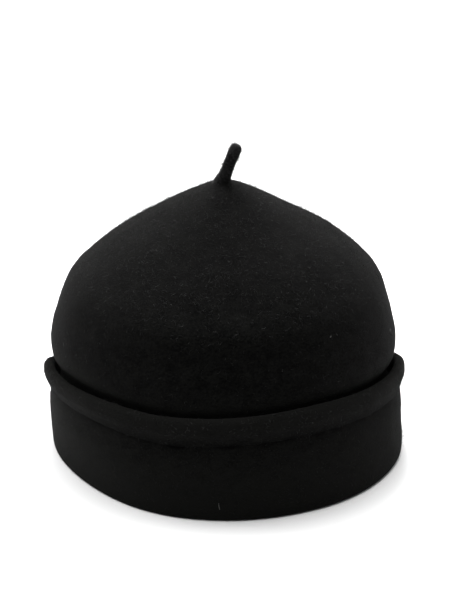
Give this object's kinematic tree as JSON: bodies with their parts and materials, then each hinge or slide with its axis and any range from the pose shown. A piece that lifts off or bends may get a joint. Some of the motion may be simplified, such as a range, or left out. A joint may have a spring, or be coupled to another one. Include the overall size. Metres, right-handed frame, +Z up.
{
  "type": "felt hat",
  "caption": "Brimless black wool felt hat with a domed crown rising to a shallow point, a turned-up cuff with a rolled lip, and a short stem on top.",
  "frame": {"origin": "On the floor, under the middle of the hat's overall box. The turned bottom edge stands on z = 0.", "axes": "+Z up through the stem. The front of the hat faces -Y and the wearer's left, which the stem leans to, is +X."},
  "size_m": [0.191, 0.212, 0.1647],
  "materials": {
    "crown_felt": "matt black wool felt",
    "stem_felt": "matt black rolled wool felt"
  },
  "bodies": {
    "root": {"crown_and_cuff": "crown_felt", "stem": "stem_felt"}
  },
  "joints": []
}
